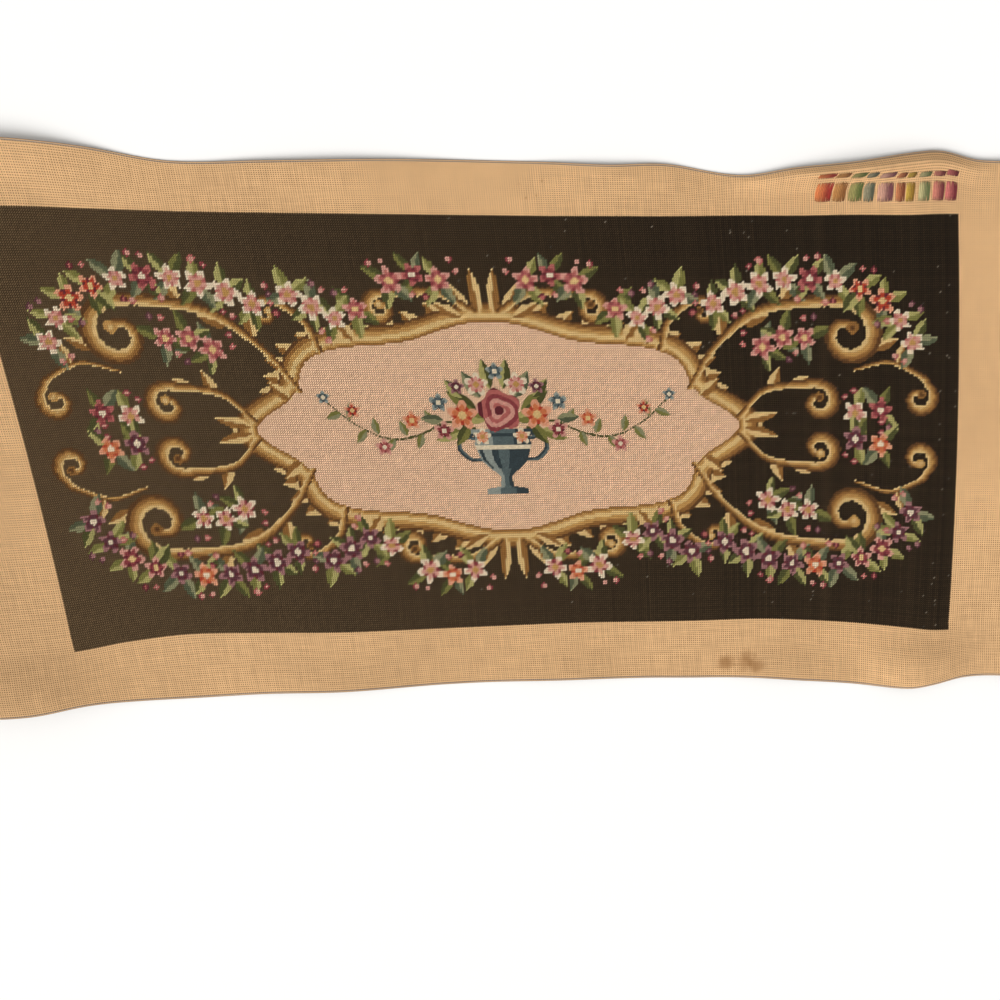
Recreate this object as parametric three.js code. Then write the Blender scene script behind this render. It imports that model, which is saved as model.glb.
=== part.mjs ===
// Needlepoint panel for a bench seat: a length of double-thread canvas with a rectangle worked in
// wool tent stitch, bare margins all round, and a key of wool shades sewn above one corner.
// The cloth lies face up. Its ends lift, its edges ripple and one margin stands up in a ridge.
// Millimetres. +X runs along the length, +Y to the edge with the shade key, +Z up from the table.
import * as THREE from "three";

// Driving sizes
const CLOTH_THICKNESS = 1.0;
const WOOL_THICKNESS = 1.2;
const KEY_THICKNESS = 1.6;
const GAP = 0.3; // between the cloth and the wool worked on it

// The worked field's ends are not square: the stitching has drawn the canvas askew.
const FIELD_END_X = {
  left: { bottom: -376, top: -446 },
  right: { bottom: 494, top: 471 },
};
const FIELD_LEVEL = { bottom: -190, top: 210 }; // where those ends are measured
const FIELD_END_BOW = 4.5; // how far both ends bow to the right halfway between those levels

// Ends of the canvas, as shares of the field's length from its left end
const CANVAS_START = -0.13;
const CANVAS_END = 1.09;

// Sections across the cloth from left to right. "along" is a share of the field's length,
// and the other columns give the level (Y) of the cut edges and of the field's edges there.
const SECTIONS = [
  { along: -0.13, bottomEdge: -264, fieldBottom: -206, fieldTop: 215, topEdge: 273 },
  { along: -0.06, bottomEdge: -264, fieldBottom: -206, fieldTop: 215, topEdge: 273 },
  { along: 0.0, bottomEdge: -258, fieldBottom: -204, fieldTop: 214, topEdge: 272 },
  { along: 0.06, bottomEdge: -257, fieldBottom: -196, fieldTop: 214, topEdge: 272 },
  { along: 0.13, bottomEdge: -255.5, fieldBottom: -190, fieldTop: 212, topEdge: 266 },
  { along: 0.21, bottomEdge: -252, fieldBottom: -190, fieldTop: 210, topEdge: 254 },
  { along: 0.3, bottomEdge: -251, fieldBottom: -191, fieldTop: 209, topEdge: 254.5 },
  { along: 0.43, bottomEdge: -246, fieldBottom: -188, fieldTop: 208, topEdge: 256.5 },
  { along: 0.57, bottomEdge: -243.5, fieldBottom: -185, fieldTop: 207, topEdge: 255 },
  { along: 0.64, bottomEdge: -244, fieldBottom: -185, fieldTop: 207, topEdge: 252.5 },
  { along: 0.7, bottomEdge: -245, fieldBottom: -185, fieldTop: 207, topEdge: 253.5 },
  { along: 0.775, bottomEdge: -245.5, fieldBottom: -184, fieldTop: 208, topEdge: 244 },
  { along: 0.83, bottomEdge: -249.5, fieldBottom: -186, fieldTop: 208, topEdge: 250.5 },
  { along: 0.89, bottomEdge: -255, fieldBottom: -190, fieldTop: 209, topEdge: 256 },
  { along: 0.95, bottomEdge: -259, fieldBottom: -196, fieldTop: 209, topEdge: 264.5 },
  { along: 0.98, bottomEdge: -255.5, fieldBottom: -199, fieldTop: 210, topEdge: 266.5 },
  { along: 1.02, bottomEdge: -248.5, fieldBottom: -198, fieldTop: 210, topEdge: 258.5 },
  { along: 1.09, bottomEdge: -246.5, fieldBottom: -197, fieldTop: 210, topEdge: 258.5 },
];

// Both ends kept a curl from being stored rolled: where it starts, where it ends and its rise
const END_CURLS = [
  { start: 0.14, end: CANVAS_START, rise: 22 },
  { start: 0.97, end: CANVAS_END, rise: 11 },
];

// Ripples of the margins. Each is a soft crest that runs beside a cut edge, "inset" in from it,
// and fades out over its half length along the cloth and its half width across it.
const RIPPLES = [
  { edge: "topEdge", along: 0.05, inset: 0, height: 9, halfLength: 0.14, halfWidth: 52 },
  { edge: "topEdge", along: 0.36, inset: 0, height: 5, halfLength: 0.17, halfWidth: 42 },
  { edge: "topEdge", along: 0.64, inset: 0, height: 4, halfLength: 0.1, halfWidth: 40 },
  { edge: "bottomEdge", along: -0.06, inset: 6, height: 10, halfLength: 0.13, halfWidth: 60 },
  { edge: "bottomEdge", along: 0.27, inset: 0, height: 5, halfLength: 0.14, halfWidth: 45 },
  { edge: "bottomEdge", along: 0.55, inset: 0, height: 4, halfLength: 0.11, halfWidth: 42 },
  { edge: "bottomEdge", along: 0.8, inset: 0, height: 5, halfLength: 0.09, halfWidth: 44 },
  { edge: "bottomEdge", along: 0.965, inset: 16, height: 10, halfLength: 0.085, halfWidth: 46 },
];

// A fold that stands up in the top margin, with its crest along one row of the cloth
const RIDGE = { along: 0.9, row: 2.82, height: 17, halfLength: 0.165, halfWidth: 15 };
const CREST_ROUND = 0.1; // of its half width
const FOLD_POWER = 1.6; // how its sides ease out into the margin

// Grid of the solids. Rows count 0 at the bottom edge, 1 and 2 at the field's edges, 3 at the top.
const COLUMNS = { leftMargin: 5, field: 36, rightMargin: 4 };
const FIELD_ROWS = 10;
const BOTTOM_MARGIN_ROWS = 4;
const TOP_MARGIN_ROWS = [2.1, 2.2, 2.3, 2.4, 2.48, 2.55, 2.62, 2.68, 2.73, 2.78, 2.82, 2.86, 2.91, 3];

// The shade key: two rows of long stitches, one block for each wool, left to right
const KEY_SPAN = { start: 0.851, end: 0.998 }; // of the field's length
const KEY_ROWS = {
  // above the field's edge, each at the left and at the right end of the key
  lower: { foot: [11.8, 11.8], head: [29.5, 30] },
  upper: { foot: [33.2, 34.7], head: [36, 40.2] },
};
const KEY_GRID = { columns: 4, rows: 6 };
const KEY_EDGE_SHARE = 0.45; // a block's height at its sides, as a share of its middle
const KEY_BLOCKS = [
  { name: "red", from: 0.0, to: 0.115, colour: 0xa2472f },
  { name: "tan", from: 0.125, to: 0.215, colour: 0xa87542 },
  { name: "green", from: 0.235, to: 0.33, colour: 0x7b8148 },
  { name: "sage", from: 0.34, to: 0.415, colour: 0x7f7f66 },
  { name: "plum", from: 0.44, to: 0.55, colour: 0x96685f },
  { name: "rust", from: 0.57, to: 0.632, colour: 0x9c5b38 },
  { name: "ochre", from: 0.642, to: 0.7, colour: 0xa98a33 },
  { name: "moss", from: 0.73, to: 0.81, colour: 0x8a8c5a },
  { name: "rose", from: 0.83, to: 0.91, colour: 0x99564d },
  { name: "claret", from: 0.92, to: 1.0, colour: 0x8e3c3f },
];

const CANVAS_COLOUR = 0xd6ae82;
const GROUND_WOOL_COLOUR = 0x33291f;
const MATT = 0.95; // roughness of cotton and wool

const { lerp } = THREE.MathUtils;

// One column of the sections at a place along the field, on a smooth curve through its rows
function levelAt(column, along) {
  const lastSpan = SECTIONS.length - 2;
  const found = SECTIONS.findIndex((row, k) => k > 0 && along <= row.along) - 1;
  const i = found < 0 ? lastSpan : found;
  const a = SECTIONS[i];
  const b = SECTIONS[i + 1];
  const before = SECTIONS[Math.max(i - 1, 0)];
  const after = SECTIONS[Math.min(i + 2, lastSpan + 1)];
  const span = b.along - a.along;
  const slopeA = ((b[column] - before[column]) / (b.along - before.along)) * span;
  const slopeB = ((after[column] - a[column]) / (after.along - a.along)) * span;
  const f = (along - a.along) / span;
  const f2 = f * f;
  const f3 = f2 * f;
  return (
    (2 * f3 - 3 * f2 + 1) * a[column] +
    (f3 - 2 * f2 + f) * slopeA +
    (3 * f2 - 2 * f3) * b[column] +
    (f3 - f2) * slopeB
  );
}

// 1 at the middle, falling smoothly to 0 at one half width and beyond
function bell(distance) {
  const d = Math.min(Math.abs(distance), 1);
  return 0.5 + 0.5 * Math.cos(Math.PI * d);
}

// 1 at a fold's crest, nearly straight down its sides and easing out at one half width
function fold(distance) {
  return Math.max(1 + CREST_ROUND - Math.hypot(distance, CREST_ROUND), 0) ** FOLD_POWER;
}

// Height of the cloth's underside above the table
function lift(along, y) {
  let height = 0;
  for (const curl of END_CURLS) {
    const share = (along - curl.start) / (curl.end - curl.start);
    height += curl.rise * Math.max(share, 0) ** 2;
  }
  for (const r of RIPPLES) {
    const inFromEdge = Math.abs(levelAt(r.edge, along) - y);
    const lengthwise = bell((along - r.along) / r.halfLength);
    height += r.height * lengthwise * bell((inFromEdge - r.inset) / r.halfWidth);
  }
  const crest = lerp(levelAt("fieldTop", along), levelAt("topEdge", along), RIDGE.row - 2);
  const lengthwise = bell((along - RIDGE.along) / RIDGE.halfLength);
  return height + RIDGE.height * lengthwise * fold((y - crest) / RIDGE.halfWidth);
}

// A point of the cloth's underside. "row" counts 0, 1, 2, 3 over the four lines of a section.
function undersidePoint(along, row) {
  const lines = ["bottomEdge", "fieldBottom", "fieldTop", "topEdge"];
  const k = Math.min(Math.floor(row), lines.length - 2);
  const y = lerp(levelAt(lines[k], along), levelAt(lines[k + 1], along), row - k);
  const level = (y - FIELD_LEVEL.bottom) / (FIELD_LEVEL.top - FIELD_LEVEL.bottom);
  const leftX = lerp(FIELD_END_X.left.bottom, FIELD_END_X.left.top, level);
  const rightX = lerp(FIELD_END_X.right.bottom, FIELD_END_X.right.top, level);
  const bow = FIELD_END_BOW * Math.max(4 * level * (1 - level), 0);
  return new THREE.Vector3(lerp(leftX, rightX, along) + bow, y, lift(along, y));
}

// A point that stands "out" from the underside, square to the cloth
function clothPoint(along, row, out) {
  const step = 1e-4;
  const point = undersidePoint(along, row);
  const alongStep = undersidePoint(along + step, row).sub(point);
  const rowStep = undersidePoint(along, row + step).sub(point);
  return point.addScaledVector(alongStep.cross(rowStep).normalize(), out);
}

function steps(from, to, count) {
  return Array.from({ length: count }, (_, k) => lerp(from, to, (k + 1) / count));
}

const fieldColumns = [0, ...steps(0, 1, COLUMNS.field)];
const canvasColumns = [
  CANVAS_START,
  ...steps(CANVAS_START, 0, COLUMNS.leftMargin).slice(0, -1),
  ...fieldColumns,
  ...steps(1, CANVAS_END, COLUMNS.rightMargin),
];
const fieldRows = [1, ...steps(1, 2, FIELD_ROWS)];
const canvasRows = [0, ...steps(0, 1, BOTTOM_MARGIN_ROWS).slice(0, -1), ...fieldRows, ...TOP_MARGIN_ROWS];

// The two lines of a grid on either side of a value, and its share of the way between them
function between(lines, value) {
  const next = lines.findIndex((line, k) => k > 0 && value <= line);
  const [a, b] = [lines[next - 1], lines[next]];
  return { a, b, share: (value - a) / (b - a) };
}

// The same point on the canvas solid's own facets, so that what lies on it never cuts into it
function facetPoint(along, row, out) {
  const x = between(canvasColumns, along);
  const y = between(canvasRows, row);
  const low = clothPoint(x.a, y.a, out).lerp(clothPoint(x.b, y.a, out), x.share);
  const high = clothPoint(x.a, y.b, out).lerp(clothPoint(x.b, y.b, out), x.share);
  return low.lerp(high, y.share);
}

// A box bent onto the cloth: its grid follows the given columns and the rows that "rowAt" gives
// for each of its lines, its lower face stands "base" out from the underside, and "heightAt"
// gives its thickness across its columns.
function bentBox(columns, rowSteps, rowAt, base, heightAt) {
  const box = new THREE.BoxGeometry(1, 1, 1, columns.length - 1, rowSteps, 1);
  const position = box.getAttribute("position");
  for (let k = 0; k < position.count; k++) {
    const across = position.getX(k) + 0.5;
    const up = position.getY(k) + 0.5;
    const along = columns[Math.round(across * (columns.length - 1))];
    const row = rowAt(Math.round(up * rowSteps), along);
    const isUpperFace = position.getZ(k) > 0;
    const point = facetPoint(along, row, base + (isUpperFace ? heightAt(across) : 0));
    position.setXYZ(k, point.x, point.y, point.z);
  }
  box.computeVertexNormals();
  return box;
}

function clothMesh(name, geometry, colour) {
  const material = new THREE.MeshStandardMaterial({ color: colour, roughness: MATT, metalness: 0 });
  const mesh = new THREE.Mesh(geometry, material);
  mesh.name = name;
  return mesh;
}

// The canvas, cut in one piece
function makeCanvas() {
  const rowAt = (k) => canvasRows[k];
  const geometry = bentBox(canvasColumns, canvasRows.length - 1, rowAt, 0, () => CLOTH_THICKNESS);
  return clothMesh("canvas", geometry, CANVAS_COLOUR);
}

// The layer of wool stitches that covers the middle of the canvas
function makeWoolField() {
  const rowAt = (k) => fieldRows[k];
  const base = CLOTH_THICKNESS + GAP;
  const geometry = bentBox(fieldColumns, FIELD_ROWS, rowAt, base, () => WOOL_THICKNESS);
  return clothMesh("wool_field", geometry, GROUND_WOOL_COLOUR);
}

// One block of long stitches in the shade key, fullest along its middle
function makeKeyBlock(block, rowName) {
  const start = lerp(KEY_SPAN.start, KEY_SPAN.end, block.from);
  const end = lerp(KEY_SPAN.start, KEY_SPAN.end, block.to);
  const columns = [start, ...steps(start, end, KEY_GRID.columns)];
  const { foot, head } = KEY_ROWS[rowName];
  const rowAt = (k, along) => {
    const share = (along - KEY_SPAN.start) / (KEY_SPAN.end - KEY_SPAN.start);
    const above = lerp(lerp(...foot, share), lerp(...head, share), k / KEY_GRID.rows);
    return 2 + above / (levelAt("topEdge", along) - levelAt("fieldTop", along));
  };
  const heightAt = (across) => KEY_THICKNESS * lerp(1, KEY_EDGE_SHARE, (2 * across - 1) ** 2);
  const geometry = bentBox(columns, KEY_GRID.rows, rowAt, CLOTH_THICKNESS + GAP, heightAt);
  return clothMesh(`key_${rowName}_${block.name}`, geometry, block.colour);
}

const panel = new THREE.Group();
panel.add(makeCanvas(), makeWoolField());
for (const rowName of Object.keys(KEY_ROWS)) {
  for (const block of KEY_BLOCKS) panel.add(makeKeyBlock(block, rowName));
}

// The origin is under the middle of the cloth's box, on the table
const box = new THREE.Box3().setFromObject(panel);
const middle = box.getCenter(new THREE.Vector3());
panel.position.set(-middle.x, -middle.y, -box.min.z);
// The group that is exported keeps the part's own frame
const part = new THREE.Group();
part.add(panel);

export default part;
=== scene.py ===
# Needlepoint panel for a bench seat, lying face up on a table: double-thread canvas, a field of
# wool tent stitch with finer petit point at its middle, and a key of wool shades in one margin.
# Metres in the part's own frame. The cloth's own sums are in millimetres, as its maker measures.
import math

import bpy
import numpy as np
from mathutils import Matrix, Vector


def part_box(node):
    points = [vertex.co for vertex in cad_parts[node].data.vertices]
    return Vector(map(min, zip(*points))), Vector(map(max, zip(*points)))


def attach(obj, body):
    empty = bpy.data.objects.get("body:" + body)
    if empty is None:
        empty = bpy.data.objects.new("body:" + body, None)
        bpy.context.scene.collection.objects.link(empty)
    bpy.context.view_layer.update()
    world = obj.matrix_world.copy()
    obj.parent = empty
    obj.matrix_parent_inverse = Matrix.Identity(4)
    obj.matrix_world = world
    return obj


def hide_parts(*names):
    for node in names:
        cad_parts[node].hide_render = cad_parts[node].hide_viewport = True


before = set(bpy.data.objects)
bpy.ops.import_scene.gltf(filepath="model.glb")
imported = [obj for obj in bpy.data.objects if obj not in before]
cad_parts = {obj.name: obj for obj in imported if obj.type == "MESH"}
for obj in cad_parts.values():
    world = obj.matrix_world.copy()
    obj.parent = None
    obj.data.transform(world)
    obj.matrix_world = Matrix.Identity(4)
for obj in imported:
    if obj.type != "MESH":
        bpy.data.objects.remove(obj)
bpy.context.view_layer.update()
collection = bpy.context.scene.collection

# The canvas
# Unbleached cotton canvas woven with doubled threads, cut in one piece and never hemmed. It lies
# loose on the table: its ends kept a curl from being rolled, and one margin stands in a ridge.
MESHES_ACROSS = 425  # meshes along the worked field
MESHES_UP = 190
MESHES_IN_TOP_MARGIN = 26
MESHES_IN_BOTTOM_MARGIN = 29
CANVAS_START = -0.13  # shares of the field's length
CANVAS_END = 1.09
FIELD_END_X = {"left": (-376, -446), "right": (494, 471)}  # at the field's bottom and top levels
FIELD_LEVEL = (-190, 210)
FIELD_END_BOW = 4.5  # how far both ends bow to the right halfway between those levels

LINES = ("along", "bottom edge", "field bottom", "field top", "top edge")
SECTIONS = np.array(
    [
        (-0.13, -264, -206, 215, 273),
        (-0.06, -264, -206, 215, 273),
        (0.0, -258, -204, 214, 272),
        (0.06, -257, -196, 214, 272),
        (0.13, -255.5, -190, 212, 266),
        (0.21, -252, -190, 210, 254),
        (0.3, -251, -191, 209, 254.5),
        (0.43, -246, -188, 208, 256.5),
        (0.57, -243.5, -185, 207, 255),
        (0.64, -244, -185, 207, 252.5),
        (0.7, -245, -185, 207, 253.5),
        (0.775, -245.5, -184, 208, 244),
        (0.83, -249.5, -186, 208, 250.5),
        (0.89, -255, -190, 209, 256),
        (0.95, -259, -196, 209, 264.5),
        (0.98, -255.5, -199, 210, 266.5),
        (1.02, -248.5, -198, 210, 258.5),
        (1.09, -246.5, -197, 210, 258.5),
    ]
)
END_CURLS = (  # where along the cloth it starts and ends, and its rise
    {"start": 0.14, "end": CANVAS_START, "rise": 22},
    {"start": 0.97, "end": CANVAS_END, "rise": 11},
)
RIPPLE_COLUMNS = ("edge", "along", "inset", "height", "half length", "half width")
RIPPLES = (
    ("top edge", 0.05, 0, 9, 0.14, 52),
    ("top edge", 0.36, 0, 5, 0.17, 42),
    ("top edge", 0.64, 0, 4, 0.1, 40),
    ("bottom edge", -0.06, 6, 10, 0.13, 60),
    ("bottom edge", 0.27, 0, 5, 0.14, 45),
    ("bottom edge", 0.55, 0, 4, 0.11, 42),
    ("bottom edge", 0.8, 0, 5, 0.09, 44),
    ("bottom edge", 0.965, 16, 10, 0.085, 46),
)
RIDGE = {"along": 0.9, "row": 2.82, "height": 17, "half length": 0.165, "half width": 15}
CREST_ROUND = 0.1  # of the ridge's half width
FOLD_POWER = 1.6  # how its sides ease out into the margin


def level_at(line, along):
    """Level of one line of the sections, on a smooth curve through their rows."""
    at = SECTIONS[:, 0]
    level = SECTIONS[:, LINES.index(line)]
    k = np.clip(np.searchsorted(at, along) - 1, 0, len(at) - 2)
    before = np.maximum(k - 1, 0)
    after = np.minimum(k + 2, len(at) - 1)
    span = at[k + 1] - at[k]
    slope_a = (level[k + 1] - level[before]) / (at[k + 1] - at[before]) * span
    slope_b = (level[after] - level[k]) / (at[after] - at[k]) * span
    f = (along - at[k]) / span
    f2, f3 = f**2, f**3
    start = (2 * f3 - 3 * f2 + 1) * level[k] + (f3 - 2 * f2 + f) * slope_a
    return start + (3 * f2 - 2 * f3) * level[k + 1] + (f3 - f2) * slope_b


def bell(distance):
    return 0.5 + 0.5 * np.cos(math.pi * np.minimum(np.abs(distance), 1))


def fold(distance):
    """1 at a fold's crest, nearly straight down its sides, easing out at one half width."""
    return np.maximum(1 + CREST_ROUND - np.hypot(distance, CREST_ROUND), 0) ** FOLD_POWER


def lift(along, y):
    """Height of the canvas above the table, from its end curls and edge ripples."""
    height = np.zeros_like(y)
    for curl in END_CURLS:
        share = (along - curl["start"]) / (curl["end"] - curl["start"])
        height += curl["rise"] * np.maximum(share, 0) ** 2
    for row in RIPPLES:
        ripple = dict(zip(RIPPLE_COLUMNS, row))
        from_edge = np.abs(level_at(ripple["edge"], along) - y)
        lengthwise = bell((along - ripple["along"]) / ripple["half length"])
        crosswise = bell((from_edge - ripple["inset"]) / ripple["half width"])
        height += ripple["height"] * lengthwise * crosswise
    field_top = level_at("field top", along)
    crest = field_top + (level_at("top edge", along) - field_top) * (RIDGE["row"] - 2)
    lengthwise = bell((along - RIDGE["along"]) / RIDGE["half length"])
    return height + RIDGE["height"] * lengthwise * fold((y - crest) / RIDGE["half width"])


def underside(along, row):
    """Points of the canvas's underside; rows 0 to 3 are the four lines of a section."""
    along, row = np.broadcast_arrays(np.asarray(along, float), np.asarray(row, float))
    levels = np.stack([level_at(line, along) for line in LINES[1:]])
    k = np.clip(np.floor(row).astype(int), 0, 2)
    low = np.take_along_axis(levels, k[None], 0)[0]
    high = np.take_along_axis(levels, k[None] + 1, 0)[0]
    y = low + (high - low) * (row - k)
    share = (y - FIELD_LEVEL[0]) / (FIELD_LEVEL[1] - FIELD_LEVEL[0])
    left = FIELD_END_X["left"][0] + share * (FIELD_END_X["left"][1] - FIELD_END_X["left"][0])
    right = FIELD_END_X["right"][0] + share * (FIELD_END_X["right"][1] - FIELD_END_X["right"][0])
    bow = FIELD_END_BOW * np.maximum(4 * share * (1 - share), 0)
    return np.stack([left + (right - left) * along + bow, y, lift(along, y)], -1)


def mesh_place(column, row):
    """Place on the cloth of a count of meshes from the field's lower left corner."""
    row = np.asarray(row, float)
    bottom = 1 + row / MESHES_IN_BOTTOM_MARGIN
    top = 2 + (row - MESHES_UP) / MESHES_IN_TOP_MARGIN
    field = 1 + row / MESHES_UP
    place = np.where(row < 0, bottom, np.where(row > MESHES_UP, top, field))
    return np.asarray(column) / MESHES_ACROSS, place


def cloth_frame(column, row):
    """Underside point, one mesh step along, one mesh step up and the cloth's normal, in mm."""
    step = 0.05
    point = underside(*mesh_place(column, row))
    side_step = (underside(*mesh_place(column + step, row)) - point) / step
    up_step = (underside(*mesh_place(column, row + step)) - point) / step
    normal = np.cross(side_step, up_step)
    normal /= np.linalg.norm(normal, axis=-1, keepdims=True)
    return point, side_step, up_step, normal


CANVAS_COLUMNS = (CANVAS_START * MESHES_ACROSS, CANVAS_END * MESHES_ACROSS)
CANVAS_ROWS = (-MESHES_IN_BOTTOM_MARGIN, MESHES_UP + MESHES_IN_TOP_MARGIN)
outline = underside(
    *np.meshgrid(np.linspace(CANVAS_START, CANVAS_END, 400), np.array([0.0, 3.0]))
).reshape(-1, 3)
canvas_low, canvas_high = (np.array(corner) * 1000 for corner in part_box("canvas"))
to_frame = (canvas_low + canvas_high) / 2 - (outline.min(0) + outline.max(0)) / 2
to_frame[2] = canvas_low[2]


def on_cloth(column, row, out):
    """Points "out" mm above the underside, in metres in the part's frame."""
    column, row = np.broadcast_arrays(np.asarray(column, float), np.asarray(row, float))
    point, _, _, normal = cloth_frame(column, row)
    return (point + normal * np.asarray(out)[..., None] + to_frame) / 1000


def new_piece(name, points, faces):
    """A smooth mesh piece from arrays of points and of equal-sided faces."""
    mesh = bpy.data.meshes.new(name)
    mesh.vertices.add(len(points))
    mesh.vertices.foreach_set("co", np.ascontiguousarray(points, np.float32).ravel())
    mesh.loops.add(faces.size)
    mesh.loops.foreach_set("vertex_index", np.ascontiguousarray(faces, np.int32).ravel())
    mesh.polygons.add(len(faces))
    starts = np.arange(0, faces.size, faces.shape[1], dtype=np.int32)
    mesh.polygons.foreach_set("loop_start", starts)
    mesh.polygons.foreach_set("use_smooth", np.ones(len(faces), bool))
    mesh.update(calc_edges=True)
    mesh.validate()
    piece = bpy.data.objects.new(name, mesh)
    collection.objects.link(piece)
    return piece


def add_uv(piece, name, places):
    """A UV map that gives every point its own place."""
    mesh = piece.data
    corners = np.empty(len(mesh.loops), np.int32)
    mesh.loops.foreach_get("vertex_index", corners)
    layer = mesh.uv_layers.new(name=name)
    layer.uv.foreach_set("vector", np.ascontiguousarray(places[corners], np.float32).ravel())


def add_flat_uv(piece):
    """A UV map of the piece seen from above, filling the square, for baking its finish."""
    points = np.empty(len(piece.data.vertices) * 3, np.float32)
    piece.data.vertices.foreach_get("co", points)
    plan = points.reshape(-1, 3)[:, :2]
    low = plan.min(0)
    add_uv(piece, "OFBake", (plan - low) / (plan.max(0) - low).max())


def linear(colour):
    """Linear light values of an 8-bit display colour."""
    share = np.asarray(colour, float) / 255
    return np.where(share <= 0.04045, share / 12.92, ((share + 0.055) / 1.055) ** 2.4)


def add_colour(piece, name, colours):
    layer = piece.data.color_attributes.new(name, "FLOAT_COLOR", "POINT")
    with_alpha = np.concatenate([colours, np.ones((len(colours), 1))], 1)
    layer.data.foreach_set("color", np.ascontiguousarray(with_alpha, np.float32).ravel())


def add_value(piece, name, values):
    layer = piece.data.attributes.new(name, "FLOAT", "POINT")
    layer.data.foreach_set("value", np.ascontiguousarray(values, np.float32))


def add_node(tree, kind, links=None, **settings):
    """A shader node with its settings, and its inputs set to values or linked to sockets."""
    node = tree.nodes.new(kind)
    for key, value in settings.items():
        setattr(node, key, value)
    for key, value in (links or {}).items():
        if isinstance(value, bpy.types.NodeSocket):
            tree.links.new(value, node.inputs[key])
        else:
            node.inputs[key].default_value = value
    return node


def new_material(name):
    """A material with its Principled shader ready to be set."""
    material = bpy.data.materials.new(name)
    material.use_nodes = True
    tree = material.node_tree
    return material, tree, tree.nodes["Principled BSDF"]


def opaque(colour):
    return (*linear(colour), 1.0)


def noise_range(tree, vector, scale, low, high, detail=3.0):
    """Noise spread over a range of values."""
    noise = add_node(tree, "ShaderNodeTexNoise", {"Vector": vector, "Scale": scale, "Detail": detail})
    links = {"Value": noise.outputs["Fac"], "From Min": 0.3, "From Max": 0.7, "To Min": low, "To Max": high}
    return add_node(tree, "ShaderNodeMapRange", links).outputs["Result"]


def times(tree, a, b):
    return add_node(tree, "ShaderNodeMath", {0: a, 1: b}, operation="MULTIPLY").outputs[0]


def shaded(tree, colour, value):
    """A colour scaled by a value."""
    links = {0: colour, "Scale": value}
    return add_node(tree, "ShaderNodeVectorMath", links, operation="SCALE").outputs[0]


def mixed(tree, a, b, share):
    mix = add_node(tree, "ShaderNodeMix", data_type="RGBA")
    for socket, value in ((mix.inputs[6], a), (mix.inputs[7], b), (mix.inputs[0], share)):
        if isinstance(value, bpy.types.NodeSocket):
            tree.links.new(value, socket)
        else:
            socket.default_value = value
    return mix.outputs[2]


# Marks that time left on the canvas: two brown blotches and a few pin pricks, in meshes
STAIN_COLUMNS = ("column", "row", "radius mm", "strength")
STAINS = (
    (312.5, -21.5, 12, 0.68),
    (322, -21.5, 13, 0.5),
    (327.5, -23, 11, 0.6),
    (323, -18.5, 11, 0.35),
    (234, 205.3, 1.5, 0.9),
    (244, 206.9, 1.5, 0.9),
    (241, 199.9, 1.5, 0.9),
    (236.5, 198.6, 1.5, 0.9),
)
STAIN_COLOUR = (146, 102, 58)
STAIN_CORE = 0.2  # share of its radius that has its full strength


def make_cotton_group():
    """Aged cotton: broad unevenness, slubs along both sets of threads, and the stains."""
    group = bpy.data.node_groups.new("aged cotton", "ShaderNodeTree")
    group.interface.new_socket("Thread Colour", in_out="INPUT", socket_type="NodeSocketColor")
    group.interface.new_socket("Colour", in_out="OUTPUT", socket_type="NodeSocketColor")
    entry = group.nodes.new("NodeGroupInput")
    place = add_node(group, "ShaderNodeTexCoord").outputs["Object"]
    threads = add_node(group, "ShaderNodeUVMap", uv_map="threads").outputs[0]
    slub = noise_range(group, place, 6.0, 0.93, 1.06)
    for stretch in ((0.07, 1.1, 1.0), (1.1, 0.07, 1.0)):
        along = add_node(group, "ShaderNodeMapping", {"Vector": threads, "Scale": stretch}).outputs[0]
        slub = times(group, slub, noise_range(group, along, 1.0, 0.9, 1.08, 2.0))
    colour = shaded(group, entry.outputs["Thread Colour"], slub)
    for row in STAINS:
        stain = dict(zip(STAIN_COLUMNS, row))
        centre = on_cloth(stain["column"], stain["row"], 1.0)
        away = add_node(group, "ShaderNodeVectorMath", {0: place, 1: tuple(centre)}, operation="DISTANCE")
        reach = stain["radius mm"] / 1000
        ragged = times(group, away.outputs["Value"], noise_range(group, place, 150.0, 0.8, 1.2))
        links = {"Value": ragged, "From Min": reach * STAIN_CORE, "From Max": reach}
        links |= {"To Min": stain["strength"], "To Max": 0.0}
        mask = add_node(group, "ShaderNodeMapRange", links, interpolation_type="SMOOTHSTEP")
        colour = mixed(group, colour, opaque(STAIN_COLOUR), mask.outputs["Result"])
    leave = group.nodes.new("NodeGroupOutput")
    group.links.new(colour, leave.inputs["Colour"])
    return group


cotton_group = make_cotton_group()
CANVAS_COLOUR = (219, 176, 128)
# Painted shade: the cloth under the threads is coloured dark brown, so that the holes between them look
# shadowed
PAINTED_HOLE_SHADE = (112, 80, 48)
EDGE_LINE_COLOUR = (132, 128, 124)
EDGE_LINE_MM = (0.9, 2.2)  # a woven line of grey thread beside each cut edge


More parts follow.
